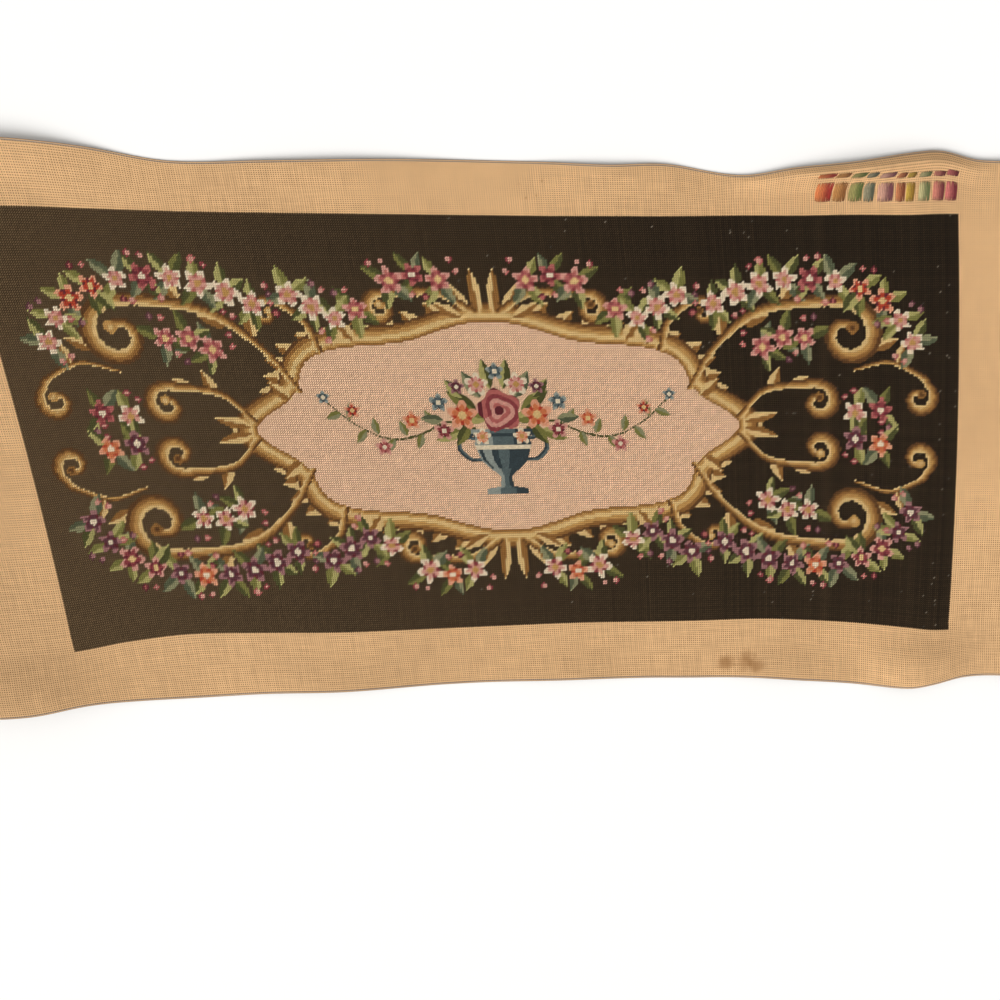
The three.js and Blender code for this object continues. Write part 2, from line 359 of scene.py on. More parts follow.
def make_thread_material():
    material, tree, shader = new_material("canvas threads")
    threads = add_node(tree, "ShaderNodeUVMap", uv_map="threads").outputs[0]
    from_edge = add_node(tree, "ShaderNodeAttribute", attribute_name="from_edge").outputs["Fac"]
    above = add_node(tree, "ShaderNodeMath", {0: from_edge, 1: EDGE_LINE_MM[0]}, operation="GREATER_THAN")
    below = add_node(tree, "ShaderNodeMath", {0: from_edge, 1: EDGE_LINE_MM[1]}, operation="LESS_THAN")
    line = times(tree, times(tree, above.outputs[0], below.outputs[0]), 0.75)
    colour = mixed(tree, opaque(CANVAS_COLOUR), opaque(EDGE_LINE_COLOUR), line)
    cotton = add_node(tree, "ShaderNodeGroup", node_tree=cotton_group)
    tree.links.new(colour, cotton.inputs["Thread Colour"])
    tree.links.new(cotton.outputs["Colour"], shader.inputs["Base Color"])
    shader.inputs["Roughness"].default_value = 0.95
    shader.inputs["Specular IOR Level"].default_value = 0.15
    wave = add_node(tree, "ShaderNodeTexNoise", {"Vector": threads, "Scale": 5.0, "Detail": 2.0})
    links = {"Height": wave.outputs["Fac"], "Strength": 0.5, "Distance": 0.0004}
    tree.links.new(add_node(tree, "ShaderNodeBump", links).outputs[0], shader.inputs["Normal"])
    return material


canvas_threads = make_thread_material()
THREAD_SHARE = 0.6  # width of a doubled thread, as a share of one mesh
THREAD_LEVEL = 0.85  # of its upper side, above the underside, in mm
THREAD_LIFT = 0.09  # how much higher every other crossing stands


def thread_edges(first, last, joins):
    """Both edges of each doubled thread, and which spans are gaps; a join runs on to the next one."""
    middles = np.arange(first, last + 1) + 0.5
    edges = np.stack([middles - THREAD_SHARE / 2, middles + THREAD_SHARE / 2], -1).ravel()
    before = [edges[0] - 1 + THREAD_SHARE] if "before" in joins else []
    after = [edges[-1] + 1 - THREAD_SHARE] if "after" in joins else []
    gap = np.arange(len(edges) + len(before) + len(after) - 1) % 2 == (0 if before else 1)
    return np.concatenate([before, edges, after]), gap


def make_threads(name, columns, rows, join_columns=(), join_rows=()):
    """Doubled threads of one margin: at each crossing a patch, with a strip to the next ones."""
    edges_x, gap_x = thread_edges(*columns, join_columns)
    edges_y, gap_y = thread_edges(*rows, join_rows)
    parity = np.add.outer(np.floor(edges_y), np.floor(edges_x)) % 2
    grid_x, grid_y = np.meshgrid(np.clip(edges_x, *CANVAS_COLUMNS), np.clip(edges_y, *CANVAS_ROWS))
    points = on_cloth(grid_x, grid_y, THREAD_LEVEL + THREAD_LIFT * parity)
    wide = len(edges_x)
    thread = ~(gap_y[:, None] & gap_x)
    first = np.add.outer(np.arange(len(gap_y)) * wide, np.arange(len(gap_x)))[thread]
    faces = np.stack([first, first + 1, first + wide + 1, first + wide], -1)
    piece = new_piece(name, points.reshape(-1, 3), faces)
    add_uv(piece, "threads", np.stack([grid_x, grid_y], -1).reshape(-1, 2))
    add_flat_uv(piece)
    along, row = mesh_place(grid_x, grid_y)
    y = underside(along, row)[..., 1]
    from_edge = np.minimum(level_at("top edge", along) - y, y - level_at("bottom edge", along))
    add_value(piece, "from_edge", from_edge.ravel())
    piece.data.materials.append(canvas_threads)
    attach(piece, "root")
    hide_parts("canvas")
    return piece


ALL_COLUMNS = (math.floor(CANVAS_COLUMNS[0]), math.ceil(CANVAS_COLUMNS[1]) - 1)
LEFT_COLUMNS = (ALL_COLUMNS[0], -1)
RIGHT_COLUMNS = (MESHES_ACROSS, ALL_COLUMNS[1])
BOTTOM_ROWS = (CANVAS_ROWS[0], -1)
TOP_ROWS = (MESHES_UP, CANVAS_ROWS[1] - 1)
FIELD_ROWS = (0, MESHES_UP - 1)
thread_pieces = [
    make_threads("canvas_threads_bottom", ALL_COLUMNS, BOTTOM_ROWS, join_rows=["after"]),
    make_threads("canvas_threads_top", ALL_COLUMNS, TOP_ROWS, join_rows=["before"]),
    make_threads("canvas_threads_left", LEFT_COLUMNS, FIELD_ROWS, join_columns=["after"]),
    make_threads("canvas_threads_right", RIGHT_COLUMNS, FIELD_ROWS, join_columns=["before"]),
]

CLOTH_TOP = 0.6  # of the cloth between and under the threads, in mm
CLOTH_BOTTOM = 0.2
CLOTH_GRID = 3  # meshes between the sheet's own grid lines
RIDGE_GRID = 1  # meshes between them in the margin with the ridge
WOOL_SHADOW_COLOUR = (62, 46, 34)  # painted shade of the wool seen down between the stitches
FIELD_EDGE = 0.7  # meshes in from the field's edge where that shadow starts


def cloth_lines(first, last, field_end, last_grid):
    """Grid lines from one cut edge to the other, with a close pair at each end of the field."""
    before = np.linspace(first, 0, 1 + round(-first / CLOTH_GRID))
    field = np.linspace(FIELD_EDGE, field_end - FIELD_EDGE, round(field_end / CLOTH_GRID))
    after = np.linspace(field_end, last, 1 + round((last - field_end) / last_grid))
    return np.concatenate([before, field, after])


def make_cloth():
    columns = cloth_lines(*CANVAS_COLUMNS, MESHES_ACROSS, CLOTH_GRID)
    rows = cloth_lines(*CANVAS_ROWS, MESHES_UP, RIDGE_GRID)
    grid_x, grid_y = np.meshgrid(columns, rows)
    points = on_cloth(grid_x, grid_y, np.full(grid_x.shape, CLOTH_TOP)).reshape(-1, 3)
    wide = len(columns)
    j, i = np.meshgrid(np.arange(len(rows) - 1), np.arange(wide - 1), indexing="ij")
    first = (j * wide + i).ravel()
    faces = np.stack([first, first + 1, first + wide + 1, first + wide], -1)
    piece = new_piece("canvas_cloth", points, faces)
    add_uv(piece, "threads", np.stack([grid_x, grid_y], -1).reshape(-1, 2))
    add_flat_uv(piece)
    worked = (grid_x > 0) & (grid_x < MESHES_ACROSS) & (grid_y > 0) & (grid_y < MESHES_UP)
    # Painted shade: the sheet is dark under the holes of the margins and darker still under the stitches of
    # the field
    shades = np.where(worked.reshape(-1, 1), linear(WOOL_SHADOW_COLOUR), linear(PAINTED_HOLE_SHADE))
    add_colour(piece, "shade", shades)
    thickness = piece.modifiers.new("thickness", "SOLIDIFY")
    thickness.thickness = (CLOTH_TOP - CLOTH_BOTTOM) / 1000
    thickness.offset = -1
    material, tree, shader = new_material("painted shade under the threads and stitches")
    shade = add_node(tree, "ShaderNodeAttribute", attribute_name="shade").outputs["Color"]
    cotton = add_node(tree, "ShaderNodeGroup", node_tree=cotton_group)
    tree.links.new(shade, cotton.inputs["Thread Colour"])
    tree.links.new(cotton.outputs["Colour"], shader.inputs["Base Color"])
    shader.inputs["Roughness"].default_value = 1.0
    shader.inputs["Specular IOR Level"].default_value = 0.0
    piece.data.materials.append(material)
    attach(piece, "root")
    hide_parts("canvas")
    return piece


canvas_cloth = make_cloth()

# The chart
# What the worker follows: a brown-black ground, a blush medallion in a gold frame, gold scrolls
# and garlands mirrored into the four quarters, and a posy in an urn at the middle, in petit point.
# One wool to each stitch. Places count stitches from the middle of the field, x right and y up.
WOOLS = {
    "ground": (42, 32, 20),
    "blush": (237, 196, 161),
    "cream": (240, 222, 190),
    "gold light": (230, 196, 134),
    "gold": (200, 154, 88),
    "gold dark": (154, 108, 56),
    "brown": (104, 70, 40),
    "pink light": (222, 162, 144),
    "pink": (190, 108, 100),
    "rose": (150, 70, 72),
    "claret": (108, 46, 52),
    "red": (188, 72, 50),
    "orange": (216, 126, 82),
    "coral": (234, 168, 132),
    "leaf light": (182, 174, 108),
    "leaf": (132, 128, 68),
    "leaf dark": (86, 86, 48),
    "sage": (150, 148, 110),
    "sage dark": (94, 100, 74),
    "blue light": (158, 164, 154),
    "blue": (98, 111, 110),
    "blue dark": (62, 73, 76),
    "lilac": (168, 118, 116),
    "plum": (104, 62, 68),
}
WOOL_NUMBER = {name: k for k, name in enumerate(WOOLS)}
UNWORKED = -1
QUARTERS = ((1, 1), (-1, 1), (1, -1), (-1, -1))  # right or left, upper or lower


def new_chart(stitches_per_mesh):
    across, up = MESHES_ACROSS * stitches_per_mesh, MESHES_UP * stitches_per_mesh
    x = (np.arange(across) + 0.5) / stitches_per_mesh - MESHES_ACROSS / 2
    y = (np.arange(up) + 0.5) / stitches_per_mesh - MESHES_UP / 2
    grid_x, grid_y = np.meshgrid(x, y)
    return {"x": grid_x, "y": grid_y, "wool": np.full(grid_x.shape, UNWORKED)}


def work(chart, inside, wool):
    chart["wool"][inside] = WOOL_NUMBER[wool]


def turned_to(chart, x, y, turn):
    """Places counted from a motif's own point, along and across the way it lies."""
    c, s = math.cos(turn), math.sin(turn)
    dx, dy = chart["x"] - x, chart["y"] - y
    return dx * c + dy * s, dy * c - dx * s


def mirrored_turn(turn, right, up):
    turn = turn if right > 0 else math.pi - turn
    return turn if up > 0 else -turn


def leaf_golds(right, up):
    """The golds of a leaf's two sides, changed over where a mirror changes the sides."""
    return ("gold light", "gold dark") if right * up > 0 else ("gold dark", "gold light")


def leaf(chart, x, y, length, width, turn, light, dark):
    """A pointed leaf, light on one side of its rib and dark on the other."""
    along, side = turned_to(chart, x, y, turn)
    share = np.clip(along / length, 0, 1)
    edge = width / 2 * np.sin(math.pi * share**0.85) + 0.1
    inside = (along > 0) & (along < length) & (np.abs(side) < edge)
    work(chart, inside & (side >= 0), light)
    work(chart, inside & (side < 0), dark)


def blossom(chart, x, y, radius, turn, outer, inner, heart, gap, petals=5):
    """A flower of five petals with a darker wool between them and a round heart."""
    dx, dy = turned_to(chart, x, y, turn)
    far = np.hypot(dx, dy)
    wave = np.cos(petals * np.arctan2(dy, dx))
    edge = radius * (0.8 + 0.2 * wave)
    inside = far < edge
    work(chart, inside, outer)
    work(chart, inside & (far < 0.68 * edge), inner)
    work(chart, inside & (wave < -0.55) & (far > 0.35 * radius), gap)
    work(chart, far < max(0.26 * radius, 0.9), heart)


def rose(chart, x, y, radius, turn, shades):
    """A full rose: its shades follow one another along a spiral."""
    dx, dy = turned_to(chart, x, y, turn)
    far, angle = np.hypot(dx, dy), np.arctan2(dy, dx)
    inside = far < radius * (0.9 + 0.1 * np.cos(5 * angle))
    spiral = far / radius * 2.6 + angle / (2 * math.pi) + 0.18 * np.sin(3 * angle)
    band = np.floor(spiral * 2).astype(int) % len(shades)
    for k, shade in enumerate(shades):
        work(chart, inside & (band == k), shade)
    work(chart, far < 0.2 * radius, shades[-1])


def berry(chart, x, y, size, dark, light):
    dx, dy = np.abs(chart["x"] - x), np.abs(chart["y"] - y)
    work(chart, (dx + dy < size * 1.2) & (np.maximum(dx, dy) < size), dark)
    work(chart, (dx < 0.55 * size) & (dy < 0.55 * size), light)


def smooth_path(points, steps=12):
    """A smooth line through a few points."""
    points = np.array(points, float)
    ends = 2 * points[0] - points[1], 2 * points[-1] - points[-2]
    padded = np.vstack([ends[0], points, ends[1]])
    t = (np.arange(steps) / steps)[:, None]
    spans = []
    for a, b, c, d in zip(padded, padded[1:], padded[2:], padded[3:]):
        square = (2 * a - 5 * b + 4 * c - d) * t**2
        cube = (3 * b - a - 3 * c + d) * t**3
        spans.append(0.5 * (2 * b + (c - a) * t + square + cube))
    return np.vstack(spans + [points[-1:]])


def volute(x, y, radius, start, turns):
    """Points of a spiral that closes in on its eye."""
    share = np.linspace(0, 1, 9)
    angle = math.radians(start) + 2 * math.pi * turns * share
    reach = radius * (1 - 0.72 * share)
    return [(x + r * math.cos(a), y + r * math.sin(a)) for r, a in zip(reach, angle)]


def scroll(chart, points, widths, shades, eye=0):
    """A stem along a smooth line, shaded across its width, with a round eye at its end."""
    path = smooth_path(points)
    half = np.interp(np.linspace(0, 1, len(path)), [0, 0.45, 1], np.array(widths) / 2)
    low, high = path.min(0) - max(widths), path.max(0) + max(widths)
    x, y = chart["x"], chart["y"]
    rows, columns = np.nonzero((x > low[0]) & (x < high[0]) & (y > low[1]) & (y < high[1]))
    place = np.stack([x[rows, columns], y[rows, columns]], -1)
    away = ((place[:, None] - path[None]) ** 2).sum(-1)
    nearest = away.argmin(1)
    way = np.gradient(path, axis=0)
    way /= np.linalg.norm(way, axis=1)[:, None] + 1e-9
    step = place - path[nearest]
    side = (step[:, 1] * way[nearest, 0] - step[:, 0] * way[nearest, 1]) / half[nearest]
    inside = np.sqrt(away.min(1)) <= half[nearest]
    band = np.clip(np.floor((side + 1) / 2 * len(shades)).astype(int), 0, len(shades) - 1)
    for k, shade in enumerate(shades):
        pick = inside & (band == k)
        chart["wool"][rows[pick], columns[pick]] = WOOL_NUMBER[shade]
    if eye:
        from_eye = np.hypot(x - path[-1][0], y - path[-1][1])
        work(chart, from_eye < eye, shades[len(shades) // 2])
        work(chart, from_eye < eye / 2, shades[-1])


chart = new_chart(1)
work(chart, chart["wool"] == UNWORKED, "ground")

# The medallion: an oval with eight shallow lobes, a frame of gold bands and a fringe of gold leaves
MEDALLION_HALF = (106, 48)
MEDALLION_LOBES = 8
MEDALLION_SWELL = 0.055
FRINGE = {"leaves": 14, "length": 13, "width": 6.5, "lean": 42}  # in each quarter, leaning to the ends
FRAME_BANDS = (  # wool, and stitches in from the medallion's edge
    ("brown", -6.2, -5.2),
    ("gold dark", -5.2, -3.6),
    ("gold", -3.6, -1.8),
    ("gold light", -1.8, 0.2),
    ("gold", 0.2, 1.4),
    ("gold dark", 1.4, 2.3),
)
for right, up in QUARTERS:
    for k in range(FRINGE["leaves"]):
        angle = (k + 0.5) / FRINGE["leaves"] * math.pi / 2
        swell = 1 + MEDALLION_SWELL * math.cos(MEDALLION_LOBES * angle)
        x, y = MEDALLION_HALF[0] * swell * math.cos(angle), MEDALLION_HALF[1] * swell * math.sin(angle)
        outward = math.atan2(math.sin(angle) / MEDALLION_HALF[1], math.cos(angle) / MEDALLION_HALF[0])
        turn = mirrored_turn(outward - math.radians(FRINGE["lean"]), right, up)
        golds = leaf_golds(right, up)
        leaf(chart, right * x, up * y, FRINGE["length"], FRINGE["width"], turn, *golds)
oval_x, oval_y = chart["x"] / MEDALLION_HALF[0], chart["y"] / MEDALLION_HALF[1]
lobes = 1 + MEDALLION_SWELL * np.cos(MEDALLION_LOBES * np.arctan2(oval_y, oval_x))
reach = np.hypot(oval_x, oval_y) / lobes
inset = (1 - reach) / np.hypot(*np.gradient(reach))
work(chart, inset > 0, "blush")
for wool, first, last in FRAME_BANDS:
    work(chart, (inset > first) & (inset <= last), wool)

# Gold leaves and scrolls of the upper right quarter; the other quarters mirror it
ACANTHUS_COLUMNS = ("x", "y", "length", "width", "turn")
ACANTHUS = (
    (104, 40, 15, 6, 95),
    (112, 47, 14, 6, 15),
    (132, 56, 12, 5, 70),
    (172, 36, 13, 5, 20),
    (124, 15, 13, 5, 65),
    (133, 18, 11, 4.5, 25),
    (184, 28, 12, 4.5, 75),
    (112, 2, 16, 5, 12),
    (3, 52, 20, 5.5, 84),
    (7, 52, 17, 5, 58),
    (11, 50, 14, 4.5, 30),
    (70, 38, 13, 5.5, 120),
    (60, 40, 11, 5, 60),
    (92, 14, 12, 5, 40),
)
SCROLL_SHADES = ("gold light", "gold", "gold dark", "brown")
SCROLL_COLUMNS = ("stem", "volute", "widths", "eye")  # a volute's x, y, radius, start and turns
SCROLLS = (
    ([(88, 18), (100, 36), (120, 52), (146, 57)], (161, 42, 14.5, 85, -1.1), (2.5, 8, 3.2), 2.8),
    ([(110, 4), (122, 16), (138, 19)], (147, 11, 8.5, 80, -1.0), (2.5, 6, 2.6), 2.2),
    ([(164, 26), (180, 30), (195, 24)], (194, 14, 8, 60, -1.0), (1.6, 5, 2.4), 2.0),
    ([(6, 53), (20, 61), (38, 61)], (46, 54, 7, 80, -1.0), (3.5, 5.5, 2.4), 2.0),
    ([(76, 36), (80, 48), (90, 57)], (96, 52, 6, 110, -0.9), (3, 4.6, 2.2), 1.7),
)
for right, up in QUARTERS:
    for row in ACANTHUS:
        spec = dict(zip(ACANTHUS_COLUMNS, row))
        x, y = right * spec["x"], up * spec["y"]
        turn = mirrored_turn(math.radians(spec["turn"]), right, up)
        leaf(chart, x, y, spec["length"], spec["width"], turn, *leaf_golds(right, up))
    for row in SCROLLS:
        spec = dict(zip(SCROLL_COLUMNS, row))
        points = [(right * x, up * y) for x, y in spec["stem"] + volute(*spec["volute"])]
        shades = SCROLL_SHADES if right * up > 0 else SCROLL_SHADES[::-1]
        scroll(chart, points, spec["widths"], shades, spec["eye"])

# Garlands along smooth lines: leaves first, then berries, then flowers over them
FLOWER_WOOLS = {  # outer petal, inner petal, heart and gap
    "upper": (
        ("pink light", "pink", "gold light", "rose"),
        ("cream", "pink light", "gold", "pink"),
        ("coral", "red", "gold light", "claret"),
        ("pink", "rose", "cream", "claret"),
    ),
    "lower": (
        ("cream", "pink light", "gold", "rose"),
        ("lilac", "plum", "cream", "claret"),
        ("pink light", "rose", "gold light", "claret"),
        ("coral", "orange", "cream", "red"),
    ),
}
LEAF_WOOLS = (
    ("leaf light", "leaf"),
    ("leaf", "leaf dark"),
    ("sage", "sage dark"),
    ("leaf light", "leaf dark"),
)
BERRY_WOOLS = (("rose", "pink light"), ("plum", "lilac"), ("claret", "pink"), ("pink", "pink light"))
WOOL_CHOICES = 4  # in each of these tables
CORNER_LINE = [(101, 56), (114, 62), (134, 67), (156, 66), (175, 59), (187, 47), (193, 35)]
GARLANDS = (
    {"line": CORNER_LINE, "spacing": 11.5, "seed": 3},
    {"line": [(57, 54), (67, 50), (79, 57), (90, 63)], "spacing": 10.5, "seed": 8},
    {"line": [(19, 67), (32, 69), (44, 65)], "spacing": 11.0, "seed": 12},
    {"line": [(122, 36), (136, 42), (146, 38)], "spacing": 10.5, "seed": 21},
    {"line": [(164, 6), (176, 8)], "spacing": 12.0, "seed": 30},
)
LEAF_LEANS = (62, -62, 118)  # degrees from the garland's line, turned over at every other sprig
LEAF_AWAY = 2  # from the line to the foot of a leaf
BERRY_AWAY = (10.5, 9)
BERRY_SIZES = (1.7, 1.5)


def away_from(x, y, distance, turn):
    """The place at a distance from a point, the way that a turn points."""
    return x + distance * math.cos(turn), y + distance * math.sin(turn)


def garland_motifs(garland):
    """Leaves, berries and flowers of a garland: kind, x, y, size, turn and choice of wools."""
    draw = np.random.default_rng(garland["seed"])
    path = smooth_path(garland["line"])
    way = np.gradient(path, axis=0)
    run = np.concatenate([[0], np.cumsum(np.linalg.norm(np.diff(path, axis=0), axis=1))])
    motifs = []
    for k, place in enumerate(np.arange(0, run[-1] + 0.1, garland["spacing"])):
        x, y, way_x, way_y = (np.interp(place, run, line) for line in (*path.T, *way.T))
        lie = math.atan2(way_y, way_x)
        side = 1 if k % 2 else -1
        for lean in LEAF_LEANS:
            turn = lie + math.radians(side * lean + draw.uniform(-18, 18))
            size = draw.uniform(8.5, 11.5)
            foot = away_from(x, y, LEAF_AWAY, turn)
            motifs.append(("leaf", *foot, size, turn, draw.integers(WOOL_CHOICES)))
        turn = lie - side * math.radians(90 + draw.uniform(-30, 30))
        berry_place = away_from(x, y, BERRY_AWAY[0], turn)
        motifs.append(("berry", *berry_place, BERRY_SIZES[0], 0, draw.integers(WOOL_CHOICES)))
        turn += draw.uniform(0.35, 0.6)
        berry_place = away_from(x, y, BERRY_AWAY[1], turn)
        motifs.append(("berry", *berry_place, BERRY_SIZES[1], 0, draw.integers(WOOL_CHOICES)))
        size = draw.uniform(5.2, 6.6)
        turn = draw.uniform(0, 1.2)
        motifs.append(("flower", x, y, size, turn, draw.integers(WOOL_CHOICES)))
    order = ("leaf", "berry", "flower")
    return sorted(motifs, key=lambda motif: order.index(motif[0]))


def work_motif(motif, right, up):
    kind, x, y, size, turn, choice = motif
    x, y, turn = right * x, up * y, mirrored_turn(turn, right, up)
    if kind == "leaf":
        leaf(chart, x, y, size, size * 0.46, turn, *LEAF_WOOLS[choice])
    elif kind == "berry":
        berry(chart, x, y, size, *BERRY_WOOLS[choice])
    else:
        blossom(chart, x, y, size, turn, *FLOWER_WOOLS["upper" if up > 0 else "lower"][choice])


for right, up in QUARTERS:
    for garland in GARLANDS:
        for motif in garland_motifs(garland):
            work_motif(motif, right, up)

# Petit point over single threads, two stitches to each mesh: an urn, its posy and two sprays
PETIT_PER_MESH = 2
petit = new_chart(PETIT_PER_MESH)
HANDLE_LINE = [(12, -5), (18, -4), (20, -9), (16, -14), (10, -15)]
SPRAY_LINE = [(12, 0), (24, 3), (38, -3), (52, -4), (66, 3), (76, 12)]
SPRAY_LEAVES = (  # x, y and turn
    (30, 2, 60),
    (36, -2, -70),
    (43, -3, 70),
    (49, -4, -60),
    (56, -2, 80),
    (61, 0, -50),
    (68, 5, 100),
    (71, 8, -20),
)
SPRAY_LEAF = (7.5, 3.4)  # length and width
POSY_WOOLS = {  # outer petal, inner petal, heart and gap
    "coral": ("coral", "orange", "gold light", "red"),
    "scarlet": ("coral", "red", "gold light", "claret"),
    "pink": ("pink light", "pink", "cream", "rose"),
    "cream": ("cream", "pink light", "gold", "pink"),
    "peach": ("cream", "coral", "gold", "orange"),
    "crimson": ("pink light", "rose", "cream", "claret"),
    "mauve": ("lilac", "plum", "cream", "claret"),
    "blue": ("blue light", "blue", "cream", "blue dark"),
}
SPRAY_FLOWERS = (  # x, y, size and wools
    (40, 4, 4.4, "coral"),
    (54, -8, 4.0, "pink"),
    (66, 9, 3.6, "scarlet"),
    (78, 15, 3.0, "blue"),
)
POSY_LEAVES = (  # x, y, length, width and turn
    (6, 4, 15, 6, 10),
    (10, 8, 16, 6, 35),
    (8, 14, 14, 6, 60),
    (3, 18, 14, 5.5, 80),
    (18, -1, 13, 5, -20),
    (14, 2, 12, 5, -55),
    (26, 4, 10, 4.5, 5),
    (16, 14, 11, 5, 50),
)
POSY_FLOWERS = (
    (17, 6, 7.2, "coral"),
    (9, 20, 5.6, "cream"),
    (27, 12, 4.4, "blue"),
    (26, -1, 4.6, "crimson"),
    (18, 19, 3.6, "mauve"),
    (9, -4, 4.2, "peach"),
)
URN_LEVELS = (-31, -28.5, -27.5, -23, -20, -15, -8, -4, -3, -0.5)
URN_HALF_WIDTHS = (9.5, 9.5, 3.2, 2.4, 5.5, 10.5, 13, 12.4, 15, 15)
for right in (1, -1):
    scroll(petit, [(right * x, y) for x, y in HANDLE_LINE], (1.6, 2.4, 1.4), ("blue dark", "blue"))
    scroll(petit, [(right * x, y) for x, y in SPRAY_LINE], (1.2, 1.2, 0.8), ("leaf dark",))
    for x, y, turn in SPRAY_LEAVES:
        turn = mirrored_turn(math.radians(turn), right, 1)
        leaf(petit, right * x, y, *SPRAY_LEAF, turn, "sage", "leaf")
    for x, y, size, wools in SPRAY_FLOWERS:
        blossom(petit, right * x, y, size, 0.3, *POSY_WOOLS[wools])
urn_across = petit["x"] / np.interp(petit["y"], URN_LEVELS, URN_HALF_WIDTHS)
urn = (np.abs(urn_across) <= 1) & (petit["y"] >= URN_LEVELS[0]) & (petit["y"] <= URN_LEVELS[-1])
flutes = np.cos(9 * np.arcsin(np.clip(urn_across, -1, 1))) < -0.3
work(petit, urn, "blue")
work(petit, urn & (urn_across < -0.35), "blue light")
work(petit, urn & (urn_across > 0.4), "blue dark")
work(petit, urn & flutes & (petit["y"] > -19) & (petit["y"] < -8), "blue dark")
work(petit, urn & (np.abs(petit["y"] + 9) < 0.8), "cream")
work(petit, urn & (np.abs(petit["y"] + 3.2) < 0.6), "blue dark")
for right in (1, -1):
    for k, (x, y, length, width, turn) in enumerate(POSY_LEAVES):
        turn = mirrored_turn(math.radians(turn), right, 1)
        leaf(petit, right * x, y, length, width, turn, *LEAF_WOOLS[k % len(LEAF_WOOLS)])
for right in (1, -1):
    for x, y, size, wools in POSY_FLOWERS:
        blossom(petit, right * x, y, size, mirrored_turn(0.4, right, 1), *POSY_WOOLS[wools])
blossom(petit, 0, 26, 4.2, math.pi / 2, *POSY_WOOLS["blue"])
rose(petit, 0, 8, 10.5, 0.5, ("pink light", "pink", "pink light", "rose", "pink", "claret"))

# The stitches
# Tent stitch in two-ply wool: each stitch slants up to the right over one crossing of the canvas
# and goes down into the holes at its ends, so it is highest at its middle. Petit point is the
# same stitch at half the size. Every stitch has its own slight differences of lie and shade.
STITCH_HALF_LENGTH = 0.69  # in meshes, along the slant
STITCH_HALF_WIDTH = 0.335
STITCH_RIDGE_SHARE = 0.42  # of the half length that its crest runs
STITCH_HEIGHT = 1.05  # mm above the canvas
STITCH_FOOT = 0.9  # mm above the underside, where a stitch's sides meet the canvas
PETIT_HEIGHT = 0.75
SHADE_SPREAD = 0.055  # from stitch to stitch
COLUMN_SPREAD = 0.12  # in the ground's right end, from one line of stitches to the next
ROW_SPREAD = 0.07
STITCH_PAINTED_SHADE_AND_HIGHLIGHT = (0.2, 1.62)  # painted shade down at its feet and painted highlight along its crest, as shares of its wool's colour
WOOL_SEED = 17
STITCH_POINTS = np.array(  # along the slant, across it, up
    [
        (-1, 1, 0),
        (-1, -1, 0),
        (1, -1, 0),
        (1, 1, 0),
        (-STITCH_RIDGE_SHARE, 0, 1),
        (STITCH_RIDGE_SHARE, 0, 1),
    ]
)
STITCH_FACES = np.array([(1, 2, 5), (1, 5, 4), (3, 0, 4), (3, 4, 5), (0, 1, 4), (2, 3, 5)])
PAINTED_SHEEN_TO_LEFT = 4.3  # how much paler the ground is painted at its left end, as painted sheen from the light on that side
PAINTED_SHEEN_DOWNWARDS = 0.6  # and at its lower edge, on the near side
LINT_SHARE = 0.006  # of the ground's stitches that carry a pale fibre at its right end, fewer to the left
LINT_COLOUR = (116, 104, 88)

wool_draw = np.random.default_rng(WOOL_SEED)
column_shades = 1 + wool_draw.normal(0, COLUMN_SPREAD, MESHES_ACROSS)
row_shades = 1 + wool_draw.normal(0, ROW_SPREAD, MESHES_UP)


def make_wool_material():
    """Matt wool: the stitch's own colour, mottled by its fibres, with a soft sheen."""
    material, tree, shader = new_material("stitched wool")
    colour = add_node(tree, "ShaderNodeAttribute", attribute_name="wool").outputs["Color"]
    place = add_node(tree, "ShaderNodeTexCoord").outputs["Object"]
    settings = {"Vector": place, "Rotation": (0, 0, math.radians(-45)), "Scale": (350, 2200, 900)}
    fibres = add_node(tree, "ShaderNodeMapping", settings).outputs[0]
    mottle = noise_range(tree, fibres, 1.0, 0.82, 1.15, 2.0)
    tree.links.new(shaded(tree, colour, mottle), shader.inputs["Base Color"])
    shader.inputs["Roughness"].default_value = 0.9
    shader.inputs["Specular IOR Level"].default_value = 0.12
    shader.inputs["Sheen Weight"].default_value = 0.05
    shader.inputs["Sheen Roughness"].default_value = 0.5
    links = {"Height": mottle, "Strength": 0.35, "Distance": 0.0003}
    tree.links.new(add_node(tree, "ShaderNodeBump", links).outputs[0], shader.inputs["Normal"])
    return material


stitched_wool = make_wool_material()
wool_colours = linear(np.array(list(WOOLS.values())))


